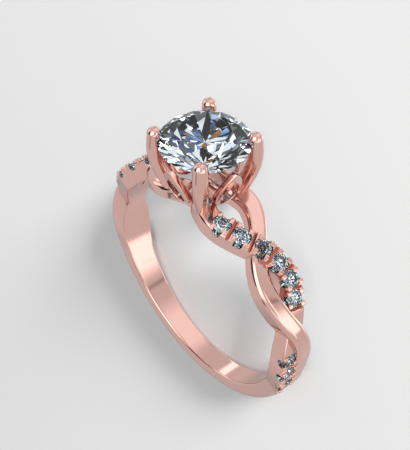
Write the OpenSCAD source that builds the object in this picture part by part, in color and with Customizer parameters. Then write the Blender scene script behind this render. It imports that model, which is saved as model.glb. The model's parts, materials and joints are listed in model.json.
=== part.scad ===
/* [Finger hole] */
// Diameter of the finger hole, inside the band
bore_d = 17.3; // [16.9:0.05:17.7]

/* [Band] */
// Width of the band at the bottom of the ring
shank_w = 1.75; // [1.5:0.05:2]
// Width of the band where the two strands run into it
shoulder_w = 2.25; // [2.1:0.05:2.5]
// Thickness of the band at the bottom of the ring
shank_t = 1.3; // [1.2:0.05:1.4]
// Thickness of the band where the two strands run into it
shoulder_t = 1.55; // [1.45:0.05:1.65]
// Radius of the band's outer edges
shank_edge = 0.4; // [0.3:0.05:0.5]

/* [Stones] */
// Diameter of the centre stone
centre_d = 6.4; // [6.2:0.05:6.6]
// Diameter of each side stone
side_d = 1.28; // [1.2:0.02:1.3]
// Height of the centre stone's girdle above the middle of the finger hole
girdle_z = 13.5; // [13.3:0.1:13.9]
// Air left between each stone and the metal round it
stone_gap = 0.03; // [0.02:0.01:0.05]

/* [Basket and prongs] */
// Thickness of each prong
prong_d = 1.08; // [1:0.02:1.14]
// Thickness of the ball on each prong's end
ball_d = 1; // [0.96:0.02:1.1]
// Thickness of the arched petals, from inside to outside
petal_t = 0.46; // [0.4:0.02:0.6]
// Width of the wire that each petal is bent from
petal_wire = 0.34; // [0.3:0.02:0.45]

/* [Hidden] */
SIDE_NAMES = [for (n = [1:18]) str("side_stone_", n)];
$fn = 48;

ROSE_GOLD = [0.86, 0.62, 0.56];
DIAMOND = [0.88, 0.93, 0.97];

bore_r = bore_d / 2;
centre_r = centre_d / 2;
side_r = side_d / 2;

// The ring stands upright while it is worked out: X is sideways, Y runs along the finger
// and Z points at the centre stone. An angle round the ring is 0 at the stone and grows
// towards +X.

// One shoulder's strands, a row for each station along them: the angle round the ring,
// then the columns named here. The other shoulder is the same pair turned half round the
// Z axis.
SIDE = 1;   // middle of the strand, along the finger
TALL = 2;   // height of its top above the finger hole
WIDE = 3;   // width across the strand
EDGE = 4;   // radius of its top edges
PAVED = [
    [  0, -0.98, 1.05, 1.55, 0.30],
    [  4, -0.95, 1.15, 1.55, 0.30],
    [  9, -1.35, 1.27, 1.62, 0.22],
    [ 14, -1.66, 1.36, 1.48, 0.12],
    [ 18, -1.68, 1.41, 1.52, 0.08],
    [ 23, -1.38, 1.47, 1.72, 0.08],
    [ 30, -0.80, 1.54, 1.64, 0.08],
    [ 40,  0.22, 1.61, 1.52, 0.08],
    [ 53,  0.84, 1.58, 1.48, 0.08],
    [ 65,  0.50, 1.42, 1.46, 0.08],
    [ 76, -0.02, 1.30, 1.46, 0.08],
    [ 88, -0.56, 1.34, 1.50, 0.08],
    [ 98, -0.62, 1.44, 1.50, 0.08],
    [108, -0.48, 1.54, 1.46, 0.08],
    [120, -0.30, 1.46, 1.20, 0.30]];
PLAIN = [
    [  0,  0.98, 1.05, 1.55, 0.30],
    [  6,  1.22, 1.00, 1.68, 0.33],
    [ 12,  1.52, 0.98, 1.72, 0.36],
    [ 19,  1.55, 1.00, 1.62, 0.38],
    [ 27,  1.05, 1.03, 1.44, 0.38],
    [ 36,  0.06, 1.07, 1.36, 0.38],
    [ 45, -0.80, 1.18, 1.34, 0.38],
    [ 54, -1.12, 1.42, 1.34, 0.38],
    [ 65, -0.80, 1.80, 1.34, 0.38],
    [ 76, -0.04, 1.97, 1.34, 0.38],
    [ 86,  0.47, 1.78, 1.34, 0.38],
    [ 96,  0.62, 1.50, 1.34, 0.38],
    [108,  0.50, 1.46, 1.26, 0.38],
    [120,  0.34, 1.46, 1.20, 0.38]];
strand_step = 4;
strand_foot = [0.35, 0.6];   // how far each rail's underside starts inside the finger hole
strand_crown = 0.1;          // rise of a strand's middle, as a share of its edges' radius

// The shank, from the foot of one shoulder round the bottom to the other
shank_from = 108;
shank_step = 6;
shank_foot = 0.45;
band_reach = 180 - shank_from;

// Side stones of one shoulder: six on the way over the plain strand, three after it, with
// a groove across the strand after each of them
upper_pitch = 8.1;
lower_pitch = 8.5;
upper_start = 21;
lower_start = 89.5;
STONE_ANGLES = concat([for (k = [0:5]) upper_start + upper_pitch * k],
                      [for (k = [0:2]) lower_start + lower_pitch * k]);
GROOVES = concat([for (k = [0.5:5.5]) upper_start + upper_pitch * k],
                 [for (k = [0.5:2.5]) lower_start + lower_pitch * k]);
side_girdle = 0.17;   // depth of a side stone's girdle below the top of its pads
groove_w = 0.25;
groove_depth = 0.3;
notch_r = 0.35;       // round notch that opens each seat on both sides
notch_depth = 0.16;   // depth of its middle below the top of the pads
cut_l = 3;            // length of the cutters across the strand
band_cut = 0.7;       // how far past the strand's middle they go where it meets the band
seat_open = 1;        // how far each seat is open above its stone's girdle
bore_l = 8;           // length of the finger hole's cutter

// Shape of a round brilliant, as shares of its radius
TABLE = 0.57;
STAR = 0.78;
crown_angle = 34.5;
pavilion_angle = 40.8;
girdle_band = 0.035;
lower_reach = 0.24;   // where the lower girdle facets meet, from the middle
CENTRE_SIDES = 32;    // sides of the centre stone's girdle
SMALL_SIDES = 16;     // and of each side stone's

// Prong path, from its foot in the strands up to the ball: distance out, height
PRONG = [[1.95, 8.9], [2.46, 9.5], [2.78, 10.2], [3.12, 11.0], [3.34, 11.8], [3.43, 12.7],
         [3.40, 13.85]];
ball_rise = 0.37;     // middle of the ball above the girdle
ball_out = PRONG[len(PRONG) - 1][0];
ball_z = girdle_z + ball_rise;

// Petals, drawn upright on their outer face before they lean out
petal_z = 10.3;       // middle of the round foot
petal_out = 2.47;     // distance of the foot's middle from the ring's middle
petal_r = 1.12;       // radius of the round foot
petal_h = 2.42;       // height of the point above the foot's middle
petal_lean = 20;
petal_hole_h = 1.5;   // height of the hole's point above the foot's middle

// Round bar across the foot of each petal, from rail to rail
bar_out = 1.88;
bar_z = 9.42;
bar_d = 0.72;
bar_l = 2.6;

// Reads one column of a table of stations at any angle, on a smooth curve through them
function row_at(t, a, i = 0) = i >= len(t) - 2 || a < t[i + 1][0] ? i : row_at(t, a, i + 1);
function slope(t, c, i) = i == 0 || i == len(t) - 1 ? 0
    : (t[i + 1][c] - t[i - 1][c]) / (t[i + 1][0] - t[i - 1][0]);
function blend(p, q, m, n, h, u) =
    p * (2 * u ^ 3 - 3 * u ^ 2 + 1) + m * h * (u ^ 3 - 2 * u ^ 2 + u)
    + q * (3 * u ^ 2 - 2 * u ^ 3) + n * h * (u ^ 3 - u ^ 2);
function read(t, c, a) = let (i = row_at(t, a), h = t[i + 1][0] - t[i][0])
    blend(t[i][c], t[i + 1][c], slope(t, c, i), slope(t, c, i + 1), h, (a - t[i][0]) / h);

// A whole rail: the paved strand on one side of the stone and the plain one on the other
strand_end = PAVED[len(PAVED) - 1][0];
function rail(c, a) = a >= 0 ? read(PAVED, c, a)
    : (c == SIDE ? -1 : 1) * read(PLAIN, c, -a);

// Directions at an angle: straight out, on round the ring, and across a sloping strand
function out(a) = [sin(a), 0, cos(a)];
function onward(a) = [cos(a), 0, -sin(a)];
function steer(a) = atan2((rail(SIDE, a + 1) - rail(SIDE, a - 1)) * 90 / PI,
                          bore_r + rail(TALL, a) / 2);
function across(a, s) = cos(s) * [0, 1, 0] - sin(s) * onward(a);
function along(a, s) = sin(s) * [0, 1, 0] + cos(s) * onward(a);

// Outline of a strand from its hidden foot: straight sides, rounded top edges, a low crown
function strand_outline(w, h, e, foot) = let (c = [w / 2 - e, h - e]) concat(
    [[-w / 2, -foot], [w / 2, -foot]],
    [for (q = [0, 45, 90]) c + e * [cos(q), sin(q)]],
    [[0, h + e * strand_crown]],
    [for (q = [90, 45, 0]) [-c[0] - e * cos(q), c[1] + e * sin(q)]]);

// A closed skin over a list of rings that all have the same number of points
module skin(rings) {
    n = len(rings[0]);
    last = len(rings) - 1;
    polyhedron(
        points = [for (r = rings) each r],
        faces = concat(
            [for (i = [0:last - 1], j = [0:n - 1]) let (k = (j + 1) % n)
                [i * n + j, (i + 1) * n + k, i * n + k]],
            [for (i = [0:last - 1], j = [0:n - 1]) let (k = (j + 1) % n)
                [i * n + j, (i + 1) * n + j, (i + 1) * n + k]],
            [[for (j = [0:n - 1]) j]],
            [[for (j = [n - 1:-1:0]) last * n + j]]));
}

// One rail over the top of the ring; turned half round, it is the other
module rail_body(foot) {
    skin([for (a = [-strand_end:strand_step:strand_end])
        let (s = steer(a), o = strand_outline(rail(WIDE, a), rail(TALL, a), rail(EDGE, a), foot))
        [for (p = o) out(a) * (bore_r + p[1]) + [0, rail(SIDE, a), 0] + across(a, s) * p[0]]]);
}

// Half the band's width and its thickness at an angle from the bottom
function shank_half(q) = (shank_w + (shoulder_w - shank_w) * (q / band_reach) ^ 2) / 2;
function shank_tall(q) = shank_t + (shoulder_t - shank_t) * (q / band_reach) ^ 4;

module shank() {
    skin([for (a = [shank_from:shank_step:360 - shank_from])
        let (w = shank_half(a - 180), h = shank_tall(a - 180), e = shank_edge)
        [for (p = concat([[-w, -shank_foot], [w, -shank_foot]],
                [for (t = [0, 30, 60, 90]) [w - e + e * cos(t), h - e + e * sin(t)]],
                [for (t = [90, 60, 30, 0]) [-w + e - e * cos(t), h - e + e * sin(t)]]))
            out(a) * (bore_r + p[1]) + [0, p[0], 0]]]);
}

// Places a thing at an angle of the paved strand: its Z straight out of the top face, its
// X along the strand, its Y across it
module on_strand(a, turned) {
    s = steer(a);
    x = along(a, s);
    y = across(a, s);
    z = out(a);
    c = out(a) * (bore_r + rail(TALL, a)) + [0, rail(SIDE, a), 0];
    rotate([0, 0, turned ? 180 : 0])
        multmatrix([[x[0], y[0], z[0], c[0]], [x[1], y[1], z[1], c[1]],
                    [x[2], y[2], z[2], c[2]], [0, 0, 0, 1]]) children();
}

// A round brilliant with its girdle's top edge at the origin: table, stars, kites and
// girdle facets above, kites and girdle facets below, closed by the pavilion's point
module brilliant(r, sides) {
    per = sides / 8;
    star_r = r * STAR;
    table_z = r * (1 - TABLE) * tan(crown_angle);
    star_z = (r - star_r * cos(22.5)) * tan(crown_angle);
    band = r * girdle_band;
    lower_r = r * lower_reach;
    deep = r * tan(pavilion_angle);
    lower_z = -band - deep + lower_r * cos(22.5) * tan(pavilion_angle);
    polyhedron(
        points = concat(
            [for (k = [0:7]) [r * TABLE * cos(45 * k), r * TABLE * sin(45 * k), table_z]],
            [for (k = [0:7]) [star_r * cos(45 * k + 22.5), star_r * sin(45 * k + 22.5), star_z]],
            [for (k = [0:sides - 1]) r * [cos(360 * k / sides), sin(360 * k / sides), 0]],
            [for (k = [0:sides - 1]) [r * cos(360 * k / sides), r * sin(360 * k / sides), -band]],
            [for (k = [0:7]) [lower_r * cos(45 * k + 22.5), lower_r * sin(45 * k + 22.5), lower_z]],
            [[0, 0, -band - deep]]),
        faces = let (g = 16, b = 16 + sides, l = 16 + 2 * sides, tip = l + 8) concat(
            [[for (k = [7:-1:0]) k]],
            [for (k = [0:7]) [k, (k + 1) % 8, 8 + k]],
            [for (k = [0:7]) [k, 8 + k, g + k * per]],
            [for (k = [0:7]) [k, g + k * per, 8 + (k + 7) % 8]],
            [for (k = [0:7], i = [0:per - 1])
                [8 + k, g + (k * per + i + 1) % sides, g + k * per + i]],
            [for (k = [0:sides - 1]) [g + k, g + (k + 1) % sides, b + (k + 1) % sides]],
            [for (k = [0:sides - 1]) [g + k, b + (k + 1) % sides, b + k]],
            [for (k = [0:7], i = [0:per - 1])
                [l + k, b + k * per + i, b + (k * per + i + 1) % sides]],
            [for (k = [0:7]) [tip, b + k * per, l + k]],
            [for (k = [0:7]) [tip, l + (k + 7) % 8, b + k * per]]));
}

// The seat of a side stone: open upwards, a cone below
module side_seat() {
    wide = side_r + stone_gap;
    floor_z = -side_r * girdle_band - stone_gap;
    rotate_extrude()
        polygon([[0, seat_open], [wide, seat_open], [wide, floor_z],
                 [0, floor_z - wide * tan(pavilion_angle)]]);
}

// The room that the basket and the balls leave for the centre stone: the stone's own
// shape, larger by the gap on its slanting facets
module centre_room() {
    brilliant(centre_r + stone_gap / sin(crown_angle), CENTRE_SIDES);
}

// Opens the seats of one paved strand on both sides and parts its pads with grooves. Each
// cutter reaches from the near side of the strand to the given distance past its middle.
module pad_cuts(turned, reach) {
    for (a = STONE_ANGLES) on_strand(a, turned)
        translate([0, reach, -notch_depth]) rotate([90, 0, 0])
            cylinder(h = cut_l, r = notch_r, $fn = 24);
    for (a = GROOVES) on_strand(a, turned)
        translate([-groove_w / 2, reach - cut_l, -groove_depth])
            cube([groove_w, cut_l, 2 * groove_depth]);
}

// A curved bar of round section through a list of [out, up] points in the XZ plane
module bent_bar(path, d, sides) {
    n = len(path);
    skin([for (i = [0:n - 1])
        let (t = path[min(i + 1, n - 1)] - path[max(i - 1, 0)], u = t / norm(t))
        [for (k = [0:sides - 1]) let (q = 360 * k / sides, c = cos(q) * d / 2)
            [path[i][0] + c * u[1], sin(q) * d / 2, path[i][1] - c * u[0]]]]);
}

module prong() {
    rotate([0, 0, 45]) {
        bent_bar(PRONG, prong_d, 16);
        translate([ball_out, 0, ball_z]) sphere(d = ball_d, $fn = 40);
    }
}

// A pointed arch on a round foot, flat in XY with the point towards +Y
module pointed_arch(r, h) {
    far = (h * h / r + r) / 2;
    circle(r = r);
    intersection() {
        translate([far - r, 0]) circle(r = far, $fn = 96);
        translate([r - far, 0]) circle(r = far, $fn = 96);
        translate([-r, 0]) square([2 * r, h]);
    }
}

module petal() {
    translate([petal_out, 0, petal_z]) rotate([0, petal_lean, 0]) rotate([90, 0, 90])
        translate([0, 0, -petal_t]) linear_extrude(petal_t) difference() {
            pointed_arch(petal_r, petal_h);
            pointed_arch(petal_r - petal_wire, petal_hole_h);
        }
    translate([bar_out, 0, bar_z]) rotate([90, 0, 0])
        cylinder(h = bar_l, d = bar_d, center = true);
}

module basket() {
    for (q = [0:90:270]) rotate([0, 0, q]) {
        prong();
        petal();
    }
}

// The ring as it comes off the bench, upright
module metal_upright() {
    difference() {
        union() {
            for (turned = [false, true]) difference() {
                rotate([0, 0, turned ? 180 : 0]) rail_body(strand_foot[turned ? 1 : 0]);
                pad_cuts(turned, cut_l / 2);
            }
            difference() {
                shank();
                for (turned = [false, true]) pad_cuts(turned, band_cut);
            }
            basket();
        }
        rotate([90, 0, 0]) cylinder(r = bore_r, h = bore_l, center = true, $fn = 180);
        for (turned = [false, true], a = STONE_ANGLES) on_strand(a, turned)
            translate([0, 0, -side_girdle]) side_seat();
        translate([0, 0, girdle_z]) centre_room();
    }
}

// How the ring comes to rest on its side: on the point of one petal and the edge of the
// shank. Both touch the table at this tilt.
edge_y = shank_w / 2 - shank_edge;
edge_r = bore_r + shank_t - shank_edge;
span_y = petal_out + petal_h * sin(petal_lean) - edge_y;
span_z = petal_z + petal_h * cos(petal_lean) + edge_r;
tilt = acos(shank_edge / norm([span_y, span_z])) - atan2(span_z, span_y);
lift = edge_r * sin(tilt) + edge_y * cos(tilt) + shank_edge;

// How far the balls and the shank reach from the finger hole's middle, to centre the ring
head_reach = ball_z * cos(tilt) + ball_out * sin(45) * sin(tilt) + ball_d / 2;
shank_reach = edge_r * cos(tilt) + edge_y * sin(tilt) + shank_edge;
slide = (head_reach - shank_reach) / 2;

module laid_down() {
    translate([0, slide, lift]) rotate([-tilt, 0, 0]) rotate([-90, 0, 180]) children();
}

module ring_metal() {
    color(ROSE_GOLD) laid_down() metal_upright();
}

module centre_stone() {
    color(DIAMOND) laid_down()
        translate([0, 0, girdle_z]) brilliant(centre_r, CENTRE_SIDES);
}

// The first half of the side stones sits on one shoulder, the rest on the other
module side_stone(n) {
    row = len(STONE_ANGLES);
    color(DIAMOND) laid_down()
        on_strand(STONE_ANGLES[n % row], n >= row)
            translate([0, 0, -side_girdle]) brilliant(side_r, SMALL_SIDES);
}

ring_metal();
centre_stone();
for (n = [0:len(SIDE_NAMES) - 1])
    side_stone(n);
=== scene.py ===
import json
import math

import bpy
import numpy as np
from mathutils import Matrix


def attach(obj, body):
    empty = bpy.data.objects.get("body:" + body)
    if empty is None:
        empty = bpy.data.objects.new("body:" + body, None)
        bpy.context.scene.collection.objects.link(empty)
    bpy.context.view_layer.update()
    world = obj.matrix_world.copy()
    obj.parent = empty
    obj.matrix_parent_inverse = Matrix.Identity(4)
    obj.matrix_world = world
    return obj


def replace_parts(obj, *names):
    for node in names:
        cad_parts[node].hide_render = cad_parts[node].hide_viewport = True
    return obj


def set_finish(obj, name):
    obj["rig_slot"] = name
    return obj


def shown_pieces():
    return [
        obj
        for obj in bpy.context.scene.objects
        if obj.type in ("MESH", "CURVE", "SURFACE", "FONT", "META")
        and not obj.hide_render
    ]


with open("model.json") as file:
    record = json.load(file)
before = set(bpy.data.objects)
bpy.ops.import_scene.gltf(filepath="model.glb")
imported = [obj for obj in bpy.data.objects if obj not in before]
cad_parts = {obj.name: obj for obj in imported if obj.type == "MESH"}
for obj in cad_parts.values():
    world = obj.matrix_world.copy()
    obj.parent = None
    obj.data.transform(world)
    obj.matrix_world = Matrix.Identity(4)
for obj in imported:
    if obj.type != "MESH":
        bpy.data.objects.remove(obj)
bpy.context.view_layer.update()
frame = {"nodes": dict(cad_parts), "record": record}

# %% [markdown]
# # A rose gold ring with twisted shoulders
#
# The frame is the imported ring: one solid of metal and nineteen stones. It lies on its side,
# as a ring with a tall stone comes to rest on a table. Here it gets its looks: the flats of
# the solid become smooth polished surfaces, and the stones get the sparkle of cut diamond.

# %% [markdown]
# A ring is easiest to think about upright, with its stone on top: X sideways, Y along the
# finger and Z up through the stone, in millimetres from the middle of the finger hole. The
# imported record states the finger hole as a mount, with its middle and its axis, and that is
# all that is needed to lay such points down on the table.

# %% From the upright ring to the table
MM = 0.001
finger_hole = frame["record"]["mounts"][0]
HOLE_MIDDLE = np.array(finger_hole["pos_m"])
HOLE_R = finger_hole["dims"]["r_mm"]
RING_X = np.array([-1.0, 0.0, 0.0])
RING_Y = -np.array(finger_hole["axis"])
RING_Z = np.cross(RING_X, RING_Y)


def lay(points):
    """Upright millimetres to metres on the table: middle + x * RING_X + y * RING_Y + z * RING_Z."""
    return HOLE_MIDDLE + np.asarray(points, float) * MM @ np.array([RING_X, RING_Y, RING_Z])


print("the stone points along", np.round(RING_Z, 3), "on the table")

# %% [markdown]
# Every new surface is a grid of points: rows along the piece, columns round its section.
# The section is closed, so the last column joins the first. A piece that is a closed loop
# joins its last row to its first as well, and any other gets a flat cap on each end. The
# sum of the small pyramids between the faces and the origin is the volume, and its sign
# says whether the faces point outwards.

# %% Turn a grid of points into a piece
SHARP = math.radians(32)


def faces_of(rows, columns, looped):
    """Corners (i, j), (i + 1, j), (i + 1, j + 1) and (i, j + 1); the columns wrap round."""
    i, j = np.meshgrid(np.arange(rows if looped else rows - 1), np.arange(columns), indexing="ij")
    below, right = (i + 1) % rows, (j + 1) % columns
    corners = [i * columns + j, below * columns + j, below * columns + right, i * columns + right]
    return np.stack(corners, -1).reshape(-1, 4)


def volume_of(points, quads):
    """A sixth of the sum of p0 . (p1 x p2) + p0 . (p2 x p3) over the faces."""
    p = points[quads]
    cross = np.cross(p[:, 1], p[:, 2]) + np.cross(p[:, 2], p[:, 3])
    return float(np.einsum("ij,ij->", p[:, 0], cross)) / 6


def piece(name, grid, looped=False, stands_for=()):
    """A mesh from a (rows, columns, 3) grid of upright millimetres, or from a row of such grids."""
    rows, columns = grid.shape[-3:-1]
    points = grid.reshape(-1, 3)
    quads = faces_of(rows, columns, looped)
    faces = quads.tolist()
    if not looped:
        faces += [list(range(columns)), list(range(rows * columns - 1, (rows - 1) * columns - 1, -1))]
    if volume_of(points, quads) < 0:
        faces = [face[::-1] for face in faces]
    starts = range(0, len(points), rows * columns)
    faces = [[start + corner for corner in face] for start in starts for face in faces]
    mesh = bpy.data.meshes.new(name)
    mesh.from_pydata(lay(points).tolist(), [], faces)
    mesh.shade_smooth()
    mesh.set_sharp_from_angle(angle=SHARP)
    obj = bpy.data.objects.new(name, mesh)
    bpy.context.scene.collection.objects.link(obj)
    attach(obj, "root")
    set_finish(obj, "rose_gold")
    if stands_for:
        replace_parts(obj, *stands_for)
    print(name, len(faces), "faces")
    return obj


print("corners of more than", round(math.degrees(SHARP)), "degrees stay sharp")

# %% [markdown]
# Each shoulder is a pair of strands. A strand that carries stones on one side of the head
# runs on under the basket and becomes the plain strand of the other side, so the two pairs
# are really two long rails, one the other turned half round. A rail is described by a few
# stations: where its middle is, how tall and wide it is and how round its top edges are. A
# smooth curve through the stations gives every place between them.

# %% The stations of the paved and the plain strand
SIDE, TALL, WIDE, EDGE = 1, 2, 3, 4
PAVED = np.array([
    [0, -0.98, 1.05, 1.55, 0.30],
    [4, -0.95, 1.15, 1.55, 0.30],
    [9, -1.35, 1.27, 1.62, 0.26],
    [14, -1.66, 1.36, 1.48, 0.26],
    [18, -1.68, 1.41, 1.52, 0.26],
    [23, -1.38, 1.47, 1.72, 0.13],
    [30, -0.80, 1.54, 1.64, 0.13],
    [40, 0.22, 1.61, 1.52, 0.13],
    [53, 0.84, 1.58, 1.48, 0.13],
    [65, 0.50, 1.42, 1.46, 0.13],
    [76, -0.02, 1.30, 1.46, 0.13],
    [88, -0.56, 1.34, 1.50, 0.13],
    [98, -0.62, 1.44, 1.50, 0.13],
    [108, -0.48, 1.54, 1.46, 0.13],
    [120, -0.30, 1.46, 1.20, 0.30]])
PLAIN = np.array([
    [0, 0.98, 1.05, 1.55, 0.30],
    [6, 1.22, 1.00, 1.68, 0.33],
    [12, 1.52, 0.98, 1.72, 0.36],
    [19, 1.55, 1.00, 1.62, 0.38],
    [27, 1.05, 1.03, 1.44, 0.38],
    [36, 0.06, 1.07, 1.36, 0.38],
    [45, -0.80, 1.18, 1.34, 0.38],
    [54, -1.12, 1.42, 1.34, 0.38],
    [65, -0.80, 1.80, 1.34, 0.38],
    [76, -0.04, 1.97, 1.34, 0.38],
    [86, 0.47, 1.78, 1.34, 0.38],
    [96, 0.62, 1.50, 1.34, 0.38],
    [108, 0.50, 1.46, 1.26, 0.38],
    [120, 0.34, 1.46, 1.20, 0.38]])


def read(table, column, angle):
    """A cubic through the stations: at each, its slope is that between its two neighbours."""
    x, y = table[:, 0], table[:, column]
    slopes = np.zeros(len(x))
    slopes[1:-1] = (y[2:] - y[:-2]) / (x[2:] - x[:-2])
    i = np.clip(np.searchsorted(x, angle, side="right") - 1, 0, len(x) - 2)
    h = x[i + 1] - x[i]
    u = (angle - x[i]) / h
    start = y[i] * (2 * u**3 - 3 * u**2 + 1) + slopes[i] * h * (u**3 - 2 * u**2 + u)
    end = y[i + 1] * (3 * u**2 - 2 * u**3) + slopes[i + 1] * h * (u**3 - u**2)
    return start + end


def rail(column, angle):
    """The paved table on one side of the head and the plain one on the other, its side mirrored."""
    plain = read(PLAIN, column, np.abs(angle)) * (-1 if column == SIDE else 1)
    return np.where(angle >= 0, read(PAVED, column, np.abs(angle)), plain)


def steer(angle):
    """The slope of the rail: the arctangent of its sideways run over its way round."""
    run = (rail(SIDE, angle + 1) - rail(SIDE, angle - 1)) / 2
    return np.arctan2(np.degrees(run), HOLE_R + rail(TALL, angle) / 2)


print("the paved strand is", PAVED[:, WIDE].min(), "to", PAVED[:, WIDE].max(), "mm wide")

# %% [markdown]
# The stones sit in the paved strand in a row. Each has a round seat, a round notch on both
# sides that lets light in, and a saw cut to the next one, so that metal is left at its four
# corners. All of it is cut from above, so it could be cut out with solids, but it can also be
# written as one depth below the top of the strand at each place along and across it. That
# keeps the surface one smooth grid. The saw cut is a narrow V, which polishing leaves dark,
# and the edges of seats and notches are rounded as a polishing wheel rounds them.

# %% How deep the strand is cut at each place
STONE_ROWS = [(21, 8.1, 6), (89.5, 8.5, 3)]
STONES = np.concatenate([first + pitch * np.arange(count) for first, pitch, count in STONE_ROWS])
CUTS = np.concatenate([first + pitch * np.arange(0.5, count) for first, pitch, count in STONE_ROWS])
SEAT_R = 0.67
SEAT_DEPTH = 0.22
SEAT_SLOPE = math.tan(math.radians(40.8))
NOTCH_R = 0.35
NOTCH_DEPTH = 0.16
CUT_HALF = 0.125
CUT_DEPTH = 0.30
POLISH = 0.035


def inside(distance):
    """1 well inside an edge, 0 well outside, and a smooth step as wide as the polished rounding."""
    u = np.clip(0.5 - distance / POLISH, 0, 1)
    return u * u * (3 - 2 * u)


def offsets(centres, angle, side):
    """Along and across the strand, in mm, from each centre to each point of the unrolled band."""
    turn = steer(centres)
    round_way = np.radians(angle[..., None] - centres) * (HOLE_R + rail(TALL, centres))
    across = side[..., None] - rail(SIDE, centres)
    return (round_way * np.cos(turn) + across * np.sin(turn),
            across * np.cos(turn) - round_way * np.sin(turn))


def cut_depth(angle, side):
    """The deepest of a cone for the seat, half a cylinder for the notch and a V for the saw cut.

    The depth of seat and notch alone comes second, because only they are bright-cut.
    """
    x, y = offsets(STONES, angle, side)
    out = np.hypot(x, y)
    seat = inside(out - SEAT_R) * (SEAT_DEPTH + np.clip(SEAT_R - out, 0, None) * SEAT_SLOPE)
    notch_half = math.sqrt(NOTCH_R**2 - NOTCH_DEPTH**2)
    notch = inside(np.abs(x) - notch_half) * (
        NOTCH_DEPTH + np.sqrt(np.clip(NOTCH_R**2 - x**2, NOTCH_DEPTH**2, None)))
    saw = np.clip(1 - np.abs(offsets(CUTS, angle, side)[0]) / CUT_HALF, 0, 1) * CUT_DEPTH
    scoop = np.maximum(seat.max(-1), notch.max(-1))
    return np.maximum(scoop, saw.max(-1)), scoop


print(len(STONES), "seats and", len(CUTS), "cuts on each shoulder")

# %% [markdown]
# A rail is a section carried along its stations. The section goes round the strand: over
# the top, down a rounded edge and a side wall, along the inside of the ring and back up. On
# the paved part the top follows the cuts, and where a cut reaches the edge the wall ends
# there. The rows are close together where there are stones and wide apart elsewhere. A flat
# has extra columns near its ends, because a face beside a rounded corner is shaded as if it
# were bent, and on polished metal that shows as a crooked reflection. Each point also keeps
# how far it belongs to a seat or a notch, for the finish. The second rail throws no shadow,
# because in the photograph the table inside the ring is nearly as light as the rest.

# %% The section of a strand
TOP = np.linspace(-1, 1, 45)
CORNER = np.radians(np.array([67.5, 45, 22.5, 0]))
WALL = np.linspace(1, 0, 9)[1:]
HEEL = np.radians(np.linspace(0, 90, 9))[1:]
FLOOR = np.array([0.92, 0.6, 0.2])
HEEL_R = 0.12
CROWN = 0.1
SCOOP_FULL = 0.12
CUT_SKIN = 0.05


def section(half, tall, edge):
    """Across and up for each column: a slightly crowned top, quarter circles and walls."""
    one = np.ones_like(half)
    top = [(half - edge) * TOP, tall + CROWN * edge * (1 - TOP**2)]
    corner = [half - edge + edge * np.cos(CORNER), tall - edge + edge * np.sin(CORNER)]
    wall = [half * np.ones_like(WALL), HEEL_R + WALL * (tall - edge - HEEL_R)]
    heel = [half - HEEL_R + HEEL_R * np.cos(HEEL), HEEL_R - HEEL_R * np.sin(HEEL)]
    floor = [(half - HEEL_R) * FLOOR, 0 * FLOOR]
    right = [np.concatenate([c[k] * one for c in (corner, wall, heel, floor)], -1) for k in (0, 1)]
    across = np.concatenate([top[0] * one, right[0], -right[0][:, ::-1]], -1)
    up = np.concatenate([top[1] * one, right[1], right[1][:, ::-1]], -1)
    return across, up


def strand_grid(angles):
    """Radius, angle and side of each point, the section turned by the slope at its station.

    The fourth is 1 where the point lies on the skin of a seat or a notch and 0 elsewhere.
    """
    a = angles[:, None]
    half, tall, edge = rail(WIDE, a) / 2, rail(TALL, a), rail(EDGE, a)
    across, up = section(half, tall, edge)
    turn = steer(a)
    side = rail(SIDE, a) + across * np.cos(turn)
    around = a - np.degrees(across * np.sin(turn) / (HOLE_R + up))
    depth, scoop = cut_depth(around, side)
    ceiling = tall - depth
    wall_top = tall - edge
    wall_cut = np.minimum(1, (ceiling - HEEL_R) / (wall_top - HEEL_R))
    lowered = np.where(up < wall_top, HEEL_R + (up - HEEL_R) * wall_cut, np.minimum(up, ceiling))
    up = np.where(up > HEEL_R, lowered, up)
    near_stone = np.clip(scoop / SCOOP_FULL, 0, 1) * (up > ceiling - CUT_SKIN)
    return HOLE_R + up, np.radians(around), side, near_stone


def upright(radius, around, side):
    """x = r sin a, y = side, z = r cos a."""
    return np.stack([radius * np.sin(around), side, radius * np.cos(around)], -1)


RAIL_END = 120
FINE_FROM, FINE_TO = 15, 113
COARSE, FINE = 1.0, 0.13
HALF_TURN = np.array([-1, -1, 1])

stations = np.concatenate([np.arange(-RAIL_END, FINE_FROM, COARSE), np.arange(FINE_FROM, FINE_TO, FINE),
                           np.arange(FINE_TO, RAIL_END + COARSE / 2, COARSE)])
*places, near_stone = strand_grid(stations)
rail_grid = upright(*places)
rail_one = piece("rail_one", rail_grid, stands_for=["ring_metal"])
rail_two = piece("rail_two", rail_grid * HALF_TURN)
rail_two.visible_shadow = False
for rail_piece in (rail_one, rail_two):
    marks = rail_piece.data.attributes.new("bright_cut", "FLOAT", "POINT")
    marks.data.foreach_set("value", near_stone.ravel())

# %% [markdown]
# A stone is held by its pads: the jeweller pushes the metal of each corner a little way over
# the stone's edge and squares it off. Each pad could be a cube with a bevel, but a ball whose
# sines and cosines are raised to a power gives the soft square form in one formula. It
# reaches over the rim and stays clear of the crown below it.

# %% Pads
PAD_AT = [0.45, 0.53, 0.0]
PAD_HALF = [0.16, 0.19, 0.09]
PAD_SQUARE = 0.5
PAD_CAP = 84


def squared(wave):
    """The wave's size to the power PAD_SQUARE, with the wave's sign."""
    return np.sign(wave) * np.abs(wave) ** PAD_SQUARE


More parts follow.
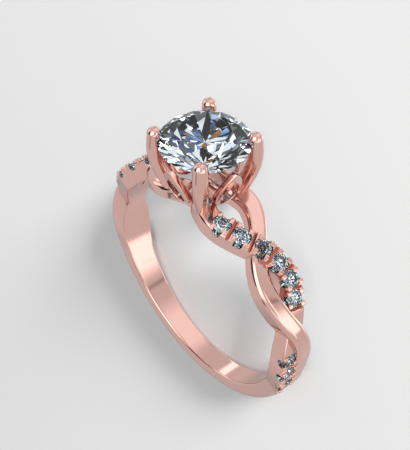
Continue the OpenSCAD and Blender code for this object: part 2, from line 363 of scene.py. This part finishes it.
def pad_grid():
    """Half lengths times the squared-off cosines and sines of a ball's climb and turn."""
    climb = np.radians(np.linspace(-PAD_CAP, PAD_CAP, 11))[:, None]
    turn = np.radians(np.arange(0, 360, 15))[None, :]
    ring = squared(np.cos(climb))
    ball = [ring * squared(np.cos(turn)), ring * squared(np.sin(turn)), squared(np.sin(climb)) + 0 * turn]
    return np.stack(ball, -1) * PAD_HALF


def on_strand(points, angle):
    """Middle of the strand's top + x along it + y across it + z straight out."""
    a, s = math.radians(angle), float(steer(angle))
    out, onward = np.array([[math.sin(a), 0, math.cos(a)], [math.cos(a), 0, -math.sin(a)]])
    finger = np.array([0, 1, 0])
    along = math.sin(s) * finger + math.cos(s) * onward
    across = math.cos(s) * finger - math.sin(s) * onward
    middle = out * (HOLE_R + float(rail(TALL, angle))) + finger * float(rail(SIDE, angle))
    return middle + points @ np.array([along, across, out])


four_pads = [pad_grid() + np.array(PAD_AT) * [x, y, 1] for x in (-1, 1) for y in (-1, 1)]
pads = np.array([on_strand(pad, angle) for angle in STONES for pad in four_pads])
piece("pads_one", pads)
piece("pads_two", pads * HALF_TURN)

# %% [markdown]
# The shank is the plain lower half of the band. Its outside is gently rounded at the edges,
# its inside has a comfort edge, and it grows a little wider and thicker towards the
# shoulders, where it dives into the strands. A bent bar with a Bevel modifier would come
# close, but a section of its own gives the outer and the inner edges each their own radius.

# %% Shank
SHANK_WIDE, SHANK_WIDER = 1.75, 0.5
SHANK_TALL, SHANK_TALLER = 1.29, 0.26
SHANK_EDGE = 0.4
SHANK_HEEL = 0.16
SHANK_REACH = 72
DIVE, DIVE_IN, DIVE_DOWN = 8, 0.3, 0.5


def shank_section(half, tall):
    """Flat top, quarter circles of the edge radius, walls, and smaller quarter circles inside."""
    one = np.ones_like(half)
    top = np.linspace(-1, 1, 15)
    outer = np.radians(np.linspace(90, 0, 11))[1:]
    inner = np.radians(np.linspace(0, 90, 9))
    wall = np.array([0.92, 0.5, 0.08])
    edge, heel = SHANK_EDGE, SHANK_HEEL
    right_across = np.concatenate([half - edge + edge * np.cos(outer) * one, half + 0 * wall,
                                   half - heel + heel * np.cos(inner) * one, (half - heel) * FLOOR], -1)
    right_up = np.concatenate([tall - edge + edge * np.sin(outer) * one, heel + (tall - edge - heel) * wall,
                               (heel - heel * np.sin(inner)) * one, 0 * FLOOR * one], -1)
    across = np.concatenate([(half - edge) * top, right_across, -right_across[:, ::-1]], -1)
    up = np.concatenate([tall + 0 * top, right_up, right_up[:, ::-1]], -1)
    return across, up


from_bottom = np.arange(-SHANK_REACH - DIVE, SHANK_REACH + DIVE + COARSE / 2, COARSE)[:, None]
share = np.minimum(np.abs(from_bottom) / SHANK_REACH, 1)
dive = np.clip((np.abs(from_bottom) - SHANK_REACH) / DIVE, 0, 1) ** 2
shank_half = (SHANK_WIDE + SHANK_WIDER * share**2) / 2 - DIVE_IN * dive
shank_tall = SHANK_TALL + SHANK_TALLER * share**4 - DIVE_DOWN * dive
across, up = shank_section(shank_half, shank_tall)
piece("shank", upright(HOLE_R + up, np.radians(180 + from_bottom + 0 * up), across))

# %% [markdown]
# The head is a basket: four prongs that curve out from the rails to the stone and end in
# balls, and between them four pointed petals, each standing on a bar. The seat in a prong is
# cut with a bur to the shape of the stone. A Boolean modifier could cut it too, but its edges
# come out ragged. So the points of the metal that would lie in the stone's room are pushed
# out to the nearest of its faces.

# %% The room of the centre stone
GIRDLE_Z = 13.5
STONE_R = 3.2
STONE_GAP = 0.03
CROWN_ANGLE = math.radians(34.5)
PAVILION_ANGLE = math.radians(40.8)
TABLE_SHARE = 0.57
STAR_SHARE = 0.78
GIRDLE_SHARE = 0.035
LOWER_SHARE = 0.24
EIGHTHS = np.arange(8) * math.pi / 4


def room_faces(r):
    """Normals and distances of the eight crown and eight pavilion faces and the table."""
    ring = np.stack([np.cos(EIGHTHS), np.sin(EIGHTHS)], -1)
    crown = np.column_stack([ring * math.sin(CROWN_ANGLE), np.full(8, math.cos(CROWN_ANGLE))])
    pavilion = np.column_stack([ring * math.sin(PAVILION_ANGLE), np.full(8, -math.cos(PAVILION_ANGLE))])
    deep = r * (math.sin(PAVILION_ANGLE) + GIRDLE_SHARE * math.cos(PAVILION_ANGLE))
    table_height = r * (1 - TABLE_SHARE) * math.tan(CROWN_ANGLE)
    normals = np.vstack([crown, pavilion, [[0, 0, 1]]])
    distances = [np.full(8, r * math.sin(CROWN_ANGLE)), np.full(8, deep), [table_height]]
    return normals, np.concatenate(distances)


def clear_of_stone(grid):
    """Each point inside the stone's room moves along the normal of the nearest face, out to it."""
    r = STONE_R + STONE_GAP / math.sin(CROWN_ANGLE)
    normals, distances = room_faces(r)
    points = grid.reshape(-1, 3) - [0, 0, GIRDLE_Z]
    girdle = np.hypot(points[:, 0], points[:, 1])
    outward = np.column_stack([points[:, 0] / girdle, points[:, 1] / girdle, np.zeros(len(points))])
    past = np.column_stack([points @ normals.T - distances, girdle - r])
    nearest = past.argmax(1)
    gap = np.minimum(past.max(1), 0)
    all_normals = np.where((nearest == len(normals))[:, None], outward,
                           normals[np.minimum(nearest, len(normals) - 1)])
    return (points - gap[:, None] * all_normals + [0, 0, GIRDLE_Z]).reshape(grid.shape)


def turned(grid, degrees):
    """Turned about the upright Z axis."""
    c, s = math.cos(math.radians(degrees)), math.sin(math.radians(degrees))
    return grid @ np.array([[c, s, 0], [-s, c, 0], [0, 0, 1]])


print("the metal stays", STONE_GAP, "mm off a stone of", 2 * STONE_R, "mm")

# %% [markdown]
# A prong is a wire that is bent out and up to the stone, with a ball on its end that holds
# the stone down. A curve with a round bevel and a sphere would do, but their seam would show
# in the polish. So it is one round bar along a smooth curve through seven points, and past
# the ball's middle the radius of the section shrinks as that of a sphere does.

# %% Prongs
PRONG = np.array([[1.95, 8.9], [2.46, 9.5], [2.78, 10.2], [3.12, 11.0], [3.34, 11.8], [3.43, 12.7],
                  [3.40, 13.87]])
PRONG_R = 0.54
BALL_R = 0.5
THINS_FROM, THINS_OVER = 12.9, 0.9
TIP_ROWS = 12


def smooth_path(points, steps):
    """A Catmull-Rom curve: between two points, the cubic whose end slopes span their neighbours."""
    ends = np.vstack([2 * points[0] - points[1], points, 2 * points[-1] - points[-2]])
    u = np.linspace(0, 1, steps, endpoint=False)[:, None]
    spans = [0.5 * (2 * b + (c - a) * u + (2 * a - 5 * b + 4 * c - d) * u**2
                    + (3 * b - a - 3 * c + d) * u**3)
             for a, b, c, d in zip(ends, ends[1:], ends[2:], ends[3:])]
    return np.vstack(spans + [points[-1:]])


def round_bar(path, radius, sides=40):
    """Circles square to the path: centre + radius * (cos q * side + sin q * (side x way))."""
    way = np.gradient(path, axis=0)
    way /= np.linalg.norm(way, axis=1, keepdims=True)
    side = np.array([0.0, 1.0, 0.0])
    if abs(way[0] @ side) > 0.9:
        side = np.cross(way[0], side)
    side = np.broadcast_to(side, way.shape)
    other = np.cross(side, way)
    q = np.linspace(0, 2 * math.pi, sides, endpoint=False)[None, :, None]
    ring = np.cos(q) * side[:, None] + np.sin(q) * other[:, None]
    return path[:, None] + ring * np.asarray(radius)[:, None, None]


wire = smooth_path(PRONG, 12)
tip = np.sin(np.linspace(0, math.pi / 2, TIP_ROWS + 2))[1:-1]
widest = np.concatenate([np.full(len(wire), PRONG_R), BALL_R * np.sqrt(1 - tip**2)])
over_ball = np.column_stack([np.full(TIP_ROWS, wire[-1, 0]), wire[-1, 1] + BALL_R * tip])
bar = np.vstack([wire, over_ball])
near_ball = np.clip((bar[:, 1] - THINS_FROM) / THINS_OVER, 0, 1)
thick = np.minimum(widest, PRONG_R + (BALL_R - PRONG_R) * near_ball)
prong_grid = round_bar(np.column_stack([bar[:, 0], 0 * bar[:, 0], bar[:, 1]]), thick)
for k in range(4):
    piece(f"prong_{k + 1}", clear_of_stone(turned(prong_grid, 45 + 90 * k)))

# %% [markdown]
# A petal is a flat wire bent to a pointed arch round a drop-shaped hole. Its outline and its
# hole are the same kind of curve in two sizes: half a circle below and two large arcs that
# meet in a point above. A flat shape with Solidify and Bevel on it would have square limbs,
# so a rounded rectangle is carried round between the two curves instead. Its front falls
# from the hole to the outline, as if filed, so that each limb shows as a broad light band.
# Each petal stands on a straight round bar, the foot of the basket.

# %% Petals and the bars that they stand on
PETAL_OUT, PETAL_Z, PETAL_LEAN = 2.47, 10.3, 20
PETAL_R, PETAL_H, PETAL_WIRE, HOLE_H = 1.12, 2.42, 0.34, 1.5
PETAL_T = 0.46
PETAL_ROUND = 0.07
PETAL_BEVEL = 22
BAR_OUT, BAR_Z, BAR_R, BAR_HALF = 1.88, 9.42, 0.36, 1.3


def arch(r, h, steps=40):
    """From the point down one large arc, round the half circle and up the other large arc."""
    big = (h * h / r + r) / 2
    climb = np.linspace(math.asin(h / big), 0, steps, endpoint=False)
    down = np.column_stack([r - big + big * np.cos(climb), big * np.sin(climb)])
    q = np.linspace(0, -math.pi, steps, endpoint=False)
    foot = np.column_stack([r * np.cos(q), r * np.sin(q)])
    return np.vstack([down, foot, [[-r, 0]], (down * [-1, 1])[:0:-1]])


def wire_section():
    """A rectangle with quarter circles for corners and two more points on each flat, near its ends."""
    bend, q = PETAL_ROUND, np.radians(np.linspace(0, 90, 7))
    middles = [(PETAL_WIRE - bend, -bend), (bend, -bend), (bend, bend - PETAL_T),
               (PETAL_WIRE - bend, bend - PETAL_T)]
    quarters = []
    for k, middle in enumerate(middles):
        round_q = q + k * math.pi / 2
        quarters.append(np.array(middle) + bend * np.column_stack([np.cos(round_q), np.sin(round_q)]))
    points = []
    for quarter, following in zip(quarters, quarters[1:] + quarters[:1]):
        flat = following[0] - quarter[-1]
        points += [quarter, quarter[-1] + flat * np.array([[0.1], [0.9]])]
    return np.vstack(points)


def petal_grid():
    """The wire's section between the hole and the outline, its front bevelled, leaned out."""
    outer, inner = arch(PETAL_R, PETAL_H), arch(PETAL_R - PETAL_WIRE, HOLE_H)
    xs, zs = wire_section().T
    flat = inner[:, None] + (outer - inner)[:, None] * (xs / PETAL_WIRE)[None, :, None]
    lean = math.radians(PETAL_LEAN)
    bevelled = zs + math.tan(math.radians(PETAL_BEVEL)) * (PETAL_WIRE - xs) * (1 + zs / PETAL_T)
    out, rise = np.broadcast_to(bevelled, flat.shape[:2]), flat[..., 1]
    return np.stack([PETAL_OUT + out * math.cos(lean) + rise * math.sin(lean), flat[..., 0],
                     PETAL_Z + rise * math.cos(lean) - out * math.sin(lean)], -1)


bar_run = np.linspace(-BAR_HALF, BAR_HALF, 9)
foot_path = np.column_stack([BAR_OUT + 0 * bar_run, bar_run, BAR_Z + 0 * bar_run])
foot_bar = round_bar(foot_path, BAR_R + 0 * bar_run, sides=32)
petal = petal_grid()
for k in range(4):
    piece(f"petal_{k + 1}", clear_of_stone(turned(petal, 90 * k)), looped=True)
    piece(f"foot_bar_{k + 1}", turned(foot_bar, 90 * k))

# %% [markdown]
# A round brilliant has a table, eight stars, eight kites and sixteen upper girdle facets
# above, and eight mains and sixteen lower girdle facets below. Every facet has to be truly
# flat, or the reflections in it break up. It could be sliced out of a cone, plane by plane,
# as on a cutter's wheel, but the corners of all its facets follow from a few shares of its
# radius, so they are simply worked out. The girdle is round, so the sixteen facets that
# meet it end in shallow arcs: each girdle point is placed on the plane of its facet.

# %% Centre stone
PER_FACET = 6


def facet_height(a, b, c, x, y):
    """The height at (x, y) of the plane through the points a, b and c."""
    n = np.cross(b - a, c - a)
    return a[2] - (n[0] * (x - a[0]) + n[1] * (y - a[1])) / n[2]


def brilliant(name, r, height):
    """The cut, from shares of its radius: its points are in rings that follow each other downwards."""
    rim = np.arange(16 * PER_FACET) * math.pi / (8 * PER_FACET)
    x, y = r * np.cos(rim), r * np.sin(rim)
    star_z = r * (1 - STAR_SHARE * math.cos(math.pi / 8)) * math.tan(CROWN_ANGLE)
    table_z = r * (1 - TABLE_SHARE) * math.tan(CROWN_ANGLE)
    band = r * GIRDLE_SHARE
    deep = -band - r * math.tan(PAVILION_ANGLE)
    low_z = deep + r * LOWER_SHARE * math.cos(math.pi / 8) * math.tan(PAVILION_ANGLE)

    def ring(radius, z, shift=0.0):
        """Eight points at one height, turned by the shift."""
        q = EIGHTHS + shift
        return np.column_stack([radius * np.cos(q), radius * np.sin(q), np.full(8, z)])

    def all_round(arc):
        """Half an arc and its mirror image, eight times round the rim."""
        return np.tile(np.concatenate([arc, [arc[0]], arc[:0:-1]]), 8)

    flat_top, stars = ring(r * TABLE_SHARE, table_z), ring(r * STAR_SHARE, star_z, math.pi / 8)
    low = ring(r * LOWER_SHARE, low_z, math.pi / 8)
    u = np.arange(PER_FACET)
    one = [np.array([r, 0, 0]), np.array([r * math.cos(math.pi / 8), r * math.sin(math.pi / 8), 0])]
    top_arc = facet_height(stars[0], one[0], one[1], x[u], y[u])
    low_arc = facet_height(low[0], one[0] - [0, 0, band], one[1] - [0, 0, band], x[u], y[u])
    rim_top = np.column_stack([x, y, all_round(top_arc)])
    rim_low = np.column_stack([x, y, all_round(low_arc)])
    points = np.vstack([flat_top, stars, rim_top, rim_low, low, [[0, 0, deep]]])
    n = len(rim)
    top, below, bottom = 16, 16 + n, 16 + 2 * n
    tip = bottom + 8
    per = 2 * PER_FACET
    faces = [list(range(8))]
    for k in range(8):
        after, before = (k + 1) % 8, (k + 7) % 8
        faces.append([k, 8 + k, after])
        faces.append([k, 8 + before, top + k * per, 8 + k])
        for half in (0, PER_FACET):
            edge = [(k * per + half + i) % n for i in range(PER_FACET + 1)]
            faces.append([8 + k] + [top + i for i in edge])
            faces.append([bottom + k] + [below + i for i in edge[::-1]])
        faces.append([tip, bottom + k, below + k * per, bottom + before])
    faces += [[top + i, below + i, below + (i + 1) % n, top + (i + 1) % n] for i in range(n)]
    mesh = bpy.data.meshes.new(name)
    mesh.from_pydata(lay(points + [0, 0, height]).tolist(), [], faces)
    mesh.validate()
    obj = bpy.data.objects.new(name, mesh)
    bpy.context.scene.collection.objects.link(obj)
    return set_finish(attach(obj, "root"), "diamond")


centre_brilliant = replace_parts(brilliant("centre_brilliant", STONE_R, GIRDLE_Z), "centre_stone")
print("the centre stone has", len(centre_brilliant.data.polygons), "faces")

# %% [markdown]
# Shader maths reads best as plain expressions. A small class holds one output of a node, and
# adding or multiplying such values adds the Math nodes that do it. Two helpers make what
# every finish here needs: soft clouds through the object, and a blend of two colours.

# %% Shader values that can be added and multiplied
def feed(node, **inputs):
    """Link or set a node's inputs by name; one that shares its name goes by its number, as _0."""
    for name, value in inputs.items():
        numbered = name[0] == "_" and name[1:].isdigit()
        socket = node.inputs[int(name[1:]) if numbered else name.replace("_", " ")]
        if isinstance(value, Value):
            value.tree.links.new(value.socket, socket)
        else:
            socket.default_value = value


class Value:
    """One socket of a shader tree; a + b, a * b and so on each add a Math node."""

    def __init__(self, tree, socket):
        self.tree = tree
        self.socket = socket

    def node(self, kind, settings=None, output=0, **sockets):
        """Any node: its settings first, then the values or links of its sockets by name."""
        made = self.tree.nodes.new(kind)
        for name, setting in (settings or {}).items():
            setattr(made, name, setting)
        feed(made, **sockets)
        return Value(self.tree, made.outputs[output])

    def maths(self, operation, a, b):
        """A Math node on two numbers or values."""
        return self.node("ShaderNodeMath", {"operation": operation}, _0=a, _1=b)

    def __add__(self, other):
        return self.maths("ADD", self, other)

    def __sub__(self, other):
        return self.maths("SUBTRACT", self, other)

    def __rsub__(self, other):
        return self.maths("SUBTRACT", other, self)

    def __mul__(self, other):
        return self.maths("MULTIPLY", self, other)

    __radd__ = __add__
    __rmul__ = __mul__


def finish_named(name):
    """A new material, its Principled shader and a value to start from: the place on the object."""
    material = bpy.data.materials.new(name)
    material.use_nodes = True
    tree = material.node_tree
    shader = tree.nodes["Principled BSDF"]
    place = Value(tree, tree.nodes.new("ShaderNodeTexCoord").outputs["Object"])
    return material, shader, place


def clouds(place, scale, detail):
    """Noise through the object, from 0 to 1."""
    return place.node("ShaderNodeTexNoise", {"noise_dimensions": "3D"},
                      Vector=place, Scale=scale, Detail=detail)


def blend(share, first, second):
    """The first colour where the share is 0 and the second where it is 1."""
    first, second = (c if isinstance(c, Value) else (*c, 1) for c in (first, second))
    return share.node("ShaderNodeMix", {"data_type": "RGBA"}, output=2, _0=share, _6=first, _7=second)


print("shader values can be added, subtracted and multiplied")

# %% [markdown]
# Rose gold is gold with a quarter of copper. Polished, it is a mirror with a warm tint, and
# all its light and dark is the room's. What keeps it from looking like plastic is small:
# the polish is a touch softer in some places than others, and a wheel leaves fine hairlines.
# Seats and notches are bright-cut, which leaves tiny facets, and plated white so that they
# don't tint the stones. The rails carry a mark where that is, and it drives both.
#
# The gold is left out of what the stones show, and all of it but the shank out of the light
# on the table, which in the photograph has no pink in it.

# %% Rose gold
GOLD_DEEP, GOLD_PALE = (0.70, 0.42, 0.365), (0.73, 0.455, 0.40)
PLATED = (0.36, 0.38, 0.39)
CLOUDS_A_METRE, HAIRS_A_METRE, FACETS_A_METRE = 420.0, 5200.0, 7000.0
FACET_TILT = 1.1
HAIR_DEPTH = 4e-6

gold, shader, place = finish_named("rose_gold_polish")
polish = clouds(place, CLOUDS_A_METRE, 3.0)
hairlines = clouds(place, HAIRS_A_METRE, 2.0)
bright_cut = place.node("ShaderNodeAttribute", {"attribute_name": "bright_cut"}, output=2)
colour = blend(bright_cut, blend(polish, GOLD_DEEP, GOLD_PALE), PLATED)
facets = place.node("ShaderNodeTexVoronoi", {"voronoi_dimensions": "3D"}, output=1,
                    Vector=place, Scale=FACETS_A_METRE)
either_way = place.node("ShaderNodeVectorMath", {"operation": "SUBTRACT"}, _0=facets, _1=(0.5, 0.5, 0.5))
tilt = place.node("ShaderNodeVectorMath", {"operation": "SCALE"}, _0=either_way, _3=bright_cut * FACET_TILT)
surface = Value(gold.node_tree, gold.node_tree.nodes.new("ShaderNodeNewGeometry").outputs["Normal"])
tilted = place.node("ShaderNodeVectorMath", {"operation": "ADD"}, _0=surface, _1=tilt)
normal = place.node("ShaderNodeVectorMath", {"operation": "NORMALIZE"}, _0=tilted)
grain = place.node("ShaderNodeBump", Strength=0.12, Distance=HAIR_DEPTH, Height=hairlines, Normal=normal)
feed(shader, Metallic=1.0, Base_Color=colour, Roughness=0.06 + polish * 0.05 + hairlines * 0.02,
     Normal=grain)
golden = [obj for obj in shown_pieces() if obj.get("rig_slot") == "rose_gold"]
for obj in golden:
    obj.data.materials.append(gold)
    obj.visible_transmission = False
    obj.visible_diffuse = obj.name == "shank"
frame["nodes"]["ring_metal"].data.materials.clear()
frame["nodes"]["ring_metal"].data.materials.append(gold)
print("gold on", len(golden), "pieces")

# %% [markdown]
# Diamond bends light more than any other clear stone, with an index of 2.42, and light that
# enters through the crown bounces off the pavilion and comes back up. The black and white
# pattern of a brilliant is nothing but that, so the shader stays clear and perfectly smooth.
# The side stones have fewer facets and stand close to the metal, so they get a slightly
# greyer and softer finish of their own. The shine on the surface is kept low, because it
# would lay a veil over the pattern. A clear stone lets the light through to the table, which
# a path tracer can hardly follow, so the centre stone throws no shadow and the table's own
# rays pass it by.

# %% Diamond
DIAMOND_IOR = 2.42
SHINE = (0.25, 0.25, 0.25, 1)


def diamond_finish(name, scale, darker, lighter, rough):
    """Clear stone: light goes through and bends, and the colour drifts between two near whites."""
    material, shader, place = finish_named(name)
    feed(shader, Base_Color=blend(clouds(place, scale, 1.0), darker, lighter), Roughness=rough,
         IOR=DIAMOND_IOR, Transmission_Weight=1.0, Specular_Tint=SHINE)
    return material


diamond = diamond_finish("diamond_clear", scale=300.0, darker=(0.97, 0.985, 1.0),
                         lighter=(1.0, 1.0, 1.0), rough=0.0)
small = diamond_finish("diamond_small", scale=900.0, darker=(0.84, 0.86, 0.79),
                       lighter=(0.90, 0.92, 0.85), rough=0.04)
centre_brilliant.data.materials.append(diamond)
centre_brilliant.visible_shadow = False
centre_brilliant.visible_diffuse = False
for name, node in frame["nodes"].items():
    if name != "ring_metal":
        node.data.materials.clear()
        node.data.materials.append(diamond if name == "centre_stone" else small)
print("finishes of the stones:", diamond.name, "and", small.name)

# %% [markdown]
# The camera stands where the photograph was taken from, seen from the ring. The ring lies
# down here and stood up there, so the camera lies down with it: it is rolled until the stone
# is on top of the picture again. The table is then a pale wall behind the ring. It could be
# turned by hand, but a matrix made of the three directions of the picture places it at once.

# %% Camera
CAMERA_AT = np.array([42.58, -35.47, 59.84])
VIEW_AZ, VIEW_EL, VIEW_ROLL = np.radians([50.2215, 44.3825, -0.2488])
PICTURE_H_PX = 450
FOCAL_PX = 1079.32
SENSOR = 36.0

away = np.array([math.sin(VIEW_AZ), -math.cos(VIEW_AZ), 0])
back = away * math.cos(VIEW_EL) + np.array([0, 0, math.sin(VIEW_EL)])
level = np.array([math.cos(VIEW_AZ), math.sin(VIEW_AZ), 0])
rise = np.cross(back, level)
right = math.cos(VIEW_ROLL) * level + math.sin(VIEW_ROLL) * rise
above = math.cos(VIEW_ROLL) * rise - math.sin(VIEW_ROLL) * level
axes = np.array([RING_X, RING_Y, RING_Z])


def stand(obj, at, x, y, z):
    """Place an object at an upright point, in mm, with its own axes along three upright directions."""
    matrix = np.eye(4)
    matrix[:3, :3] = (np.array([x, y, z]) @ axes).T
    matrix[:3, 3] = lay(at)
    obj.matrix_world = Matrix(matrix.tolist())


lens = bpy.data.cameras.new("camera")
lens.sensor_fit = "VERTICAL"
lens.sensor_height = SENSOR
lens.lens = FOCAL_PX / PICTURE_H_PX * SENSOR
lens.clip_start = 0.005
camera = bpy.data.objects.new("camera", lens)
bpy.context.scene.collection.objects.link(camera)
stand(camera, CAMERA_AT, right, above, back)
bpy.context.scene.camera = camera
print("camera", round(float(lay(CAMERA_AT)[2]) * 1000, 1), "mm above the table")

# %% [markdown]
# Polished metal shows the room, so the room is drawn first. It could be built of lamps and
# screens, but a few lines in the world's shader do the same and stay easy to move. It is one
# pale shell all round, with soft panels in it, each given by its direction in the picture:
# degrees to the right of the camera, degrees up, half its width and height, how soft its
# sides and its ends are and how much brighter or darker than the shell it is. The dark ones
# are as important as the bright ones: they draw the black lines along the edges. The table
# would hide the lower half of the room from the metal, so it is left out of the reflections.

# %% The room that the metal shows
def pointing(azimuth, elevation):
    """The direction (sin a cos e) right + (sin e) above + (cos a cos e) back, in table axes."""
    a, e = math.radians(azimuth), math.radians(elevation)
    seen = np.array([math.sin(a) * math.cos(e), math.sin(e), math.cos(a) * math.cos(e)])
    return seen @ np.array([right, above, back]) @ axes


def within(angle, half, soft):
    """1 where the angle's size is under half - soft / 2, 0 over half + soft / 2, smooth between."""
    size = angle.node("ShaderNodeMath", {"operation": "ABSOLUTE"}, _0=angle)
    return size.node("ShaderNodeMapRange", {"interpolation_type": "SMOOTHSTEP"}, Value=size,
                     From_Min=math.radians(half + soft / 2), From_Max=math.radians(max(half - soft / 2, 0)),
                     To_Min=0.0, To_Max=1.0)


def panel(way, azimuth, elevation, wide, high, soft_sides, soft_ends, gain):
    """The gain inside an angle sideways from its middle and an angle up from it, soft at the edges.

    Sideways is the arctangent of way . side over way . middle, up is the arcsine of way . upwards.
    """
    middle, side = pointing(azimuth, elevation), pointing(azimuth + 90, 0)
    facing, sideways, upwards = (
        way.node("ShaderNodeVectorMath", {"operation": "DOT_PRODUCT"}, output=1, _0=way, _1=tuple(direction))
        for direction in (middle, side, np.cross(middle, side)))
    turn = facing.maths("ARCTAN2", sideways, facing)
    climb = facing.node("ShaderNodeMath", {"operation": "ARCSINE"}, _0=upwards)
    return within(turn, wide, soft_sides) * within(climb, high, soft_ends) * gain


SHELL = 0.8
DARKEST = 0.02
PANELS = [
    (60, -25, 23.5, 20, 4, 18, 1.2),
    (34, -4, 6, 8, 4, 5, 0.9),
    (60, 7, 14, 1.5, 4, 3, -0.4),
    (35, 55, 30, 24, 24, 24, 0.5),
    (-12, -2, 11, 26, 4, 4, 1.5),
    (-36, -26, 16, 10, 8, 8, 0.8),
    (-54, -20, 5, 18, 4, 5, 1.2),
    (-35, 3, 17, 18, 4, 4, 1.3),
    (-38, -22, 6, 6, 4, 4, 1.5),
    (22, -52, 26, 12, 12, 12, 0.65),
    (-95, 30, 11, 18, 10, 10, 0.8),
    (-154, 61, 13, 4.5, 4, 4, 1.2),
    (142, 24, 24, 24, 20, 20, 0.45),
    (118, -2, 10, 8, 8, 8, 0.55),
    (118, 12, 12, 7, 4, 4, 1.4),
    (-61, 11, 7.5, 9.5, 2, 3, -1.0),
    (-79, -1, 14, 18, 4, 5, -0.85),
    (-88, -44, 12, 3.5, 4, 4, -0.7),
    (4, 55, 6, 6, 4, 4, -1.0),
    (100, 82, 10, 6, 8, 8, -0.4),
    (-172, -6, 30, 34, 30, 30, -0.3)]
world = bpy.data.worlds.new("studio")
bpy.context.scene.world = world
world.use_nodes = True
sky = world.node_tree
way = Value(sky, sky.nodes.new("ShaderNodeTexCoord").outputs["Generated"])
with_panels = sum((panel(way, *row) for row in PANELS), SHELL)
room = with_panels.maths("MAXIMUM", with_panels, DARKEST)
print(len(PANELS), "panels in a shell of brightness", SHELL)

# %% [markdown]
# A brilliant in an even room looks like a drop of water, because its life is contrast. So
# the stones are shown a room of their own, as jewellery is often lit: flat panels side by
# side, dark, grey and bright, and a few of them blue or orange for the fire. The cells of a
# Voronoi pattern are such panels, and one number of a cell's random colour picks its tone,
# another makes it blue and the third orange.

# %% The room that the stones show
TONES = [(0.32, 0.12), (0.54, 0.25), (0.70, 0.5), (0.86, 1.3)]
BLUE_FROM, ORANGE_FROM = 0.82, 0.94
DARK_TONE = 0.012


def over(value, edge):
    """1 where the value is more than the edge, 0 elsewhere."""
    return value.maths("GREATER_THAN", value, edge)


cells = way.node("ShaderNodeTexVoronoi", {"voronoi_dimensions": "3D"}, output=1, Vector=way, Scale=4.0)
shade, chance_of_blue, chance_of_orange = (
    cells.node("ShaderNodeSeparateColor", output=k, Color=cells) for k in range(3))
tone = sum((over(shade, edge) * more for edge, more in TONES), DARK_TONE)
blue, orange = over(chance_of_blue, BLUE_FROM), over(chance_of_orange, ORANGE_FROM)
stone_room = tone.node("ShaderNodeCombineColor",
                       Red=tone * (0.9 - blue * 0.4) + orange * 0.35,
                       Green=tone * (1 - blue * 0.2) + orange * 0.12,
                       Blue=tone * (1.05 + blue * 0.3) + blue * 0.08)
print(len(TONES) + 1, "tones of panel for the stones")

# %% [markdown]
# The world knows what kind of ray asks for its colour. A ray that has gone through a stone
# gets the stones' room and any other the metal's. A ray from the table gets less of it, so
# that more of the table's light comes from the lamp and its shadows are as deep as they are
# in the photograph.

# %% Which room a ray sees
FROM_TABLE_LESS = 0.38

ray = sky.nodes.new("ShaderNodeLightPath").outputs
through_stone = Value(sky, ray["Is Transmission Ray"])
from_table = Value(sky, ray["Is Diffuse Ray"])
dimmed = room * (1 - from_table * FROM_TABLE_LESS)
metal_room = dimmed.node("ShaderNodeCombineColor", Red=dimmed, Green=dimmed, Blue=dimmed)
feed(sky.nodes["Background"], Color=blend(through_stone, metal_room, stone_room), Strength=1.0)
print("the table gets", 1 - FROM_TABLE_LESS, "of the room")

# %% [markdown]
# One large square lamp, off to the upper right of the picture and far away, gives the table
# its soft shadows. A small lamp or a sun would give them hard edges. It is kept out of the
# reflections, because the panels already are the lamps that the metal shows.

# %% The lamp
LAMP_WAY = [0.36, 0.31, 1.0]
LAMP_FAR = 800
LAMP_SIDE = 200
LAMP_POWER = 31.0

key = bpy.data.lights.new("key", "AREA")
key.shape = "SQUARE"
key.size = LAMP_SIDE * MM
key.energy = LAMP_POWER
lamp = bpy.data.objects.new("key", key)
bpy.context.scene.collection.objects.link(lamp)
lamp.visible_glossy = False
lamp.visible_transmission = False
lamp_way = np.array(LAMP_WAY) @ np.array([right, above, back])
lamp_way /= np.linalg.norm(lamp_way)
lamp_flat = np.cross(lamp_way, above)
lamp_flat /= np.linalg.norm(lamp_flat)
stand(lamp, lamp_way * LAMP_FAR, lamp_flat, np.cross(lamp_way, lamp_flat), lamp_way)
print("the lamp is", round(float(lay(lamp_way * LAMP_FAR)[2]) * 1000), "mm above the table")

# %% [markdown]
# The table is a plain pale board, a little uneven in tone, and four written corners are
# enough for it. It is no part of the ring, so it is not attached to the ring's body.

# %% Table
TABLE_HALF = 0.6

table_mesh = bpy.data.meshes.new("table")
table_corners = [(x * TABLE_HALF, y * TABLE_HALF, 0) for x, y in ((-1, -1), (1, -1), (1, 1), (-1, 1))]
table_mesh.from_pydata(table_corners, [], [(0, 1, 2, 3)])
table = bpy.data.objects.new("table", table_mesh)
bpy.context.scene.collection.objects.link(table)
table.visible_glossy = False
table.visible_transmission = False
board, shader, place = finish_named("pale_board")
pale = blend(clouds(place, 12.0, 2.0), (0.59, 0.59, 0.59), (0.61, 0.61, 0.61))
feed(shader, Base_Color=pale, Roughness=0.6)
table_mesh.materials.append(board)
bpy.context.scene.view_settings.view_transform = "Standard"
print("table", 2 * TABLE_HALF, "m wide")
